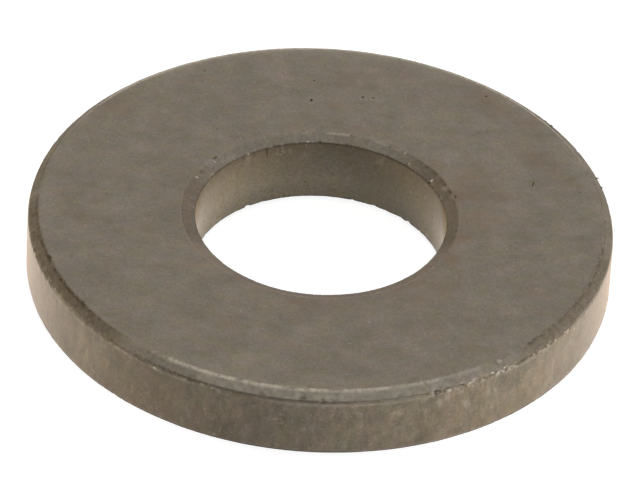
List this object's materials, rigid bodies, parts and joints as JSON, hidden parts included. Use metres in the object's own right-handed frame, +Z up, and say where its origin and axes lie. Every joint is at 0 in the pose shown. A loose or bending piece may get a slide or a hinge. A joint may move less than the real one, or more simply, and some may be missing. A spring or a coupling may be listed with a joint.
{
  "type": "ring magnet",
  "caption": "Flat ferrite ring magnet with bevelled edges and a plain bore, laid in an oil pan to gather iron dust.",
  "frame": {"origin": "on the ring's axis, in the plane of its lower face", "axes": "+Z up the ring's axis, from the lower ground face to the upper one"},
  "size_m": [0.045, 0.045, 0.006],
  "materials": {
    "ferrite": "unglazed, ground faces and as-sintered walls"
  },
  "bodies": {
    "root": {"ring_magnet": "ferrite"}
  },
  "joints": []
}
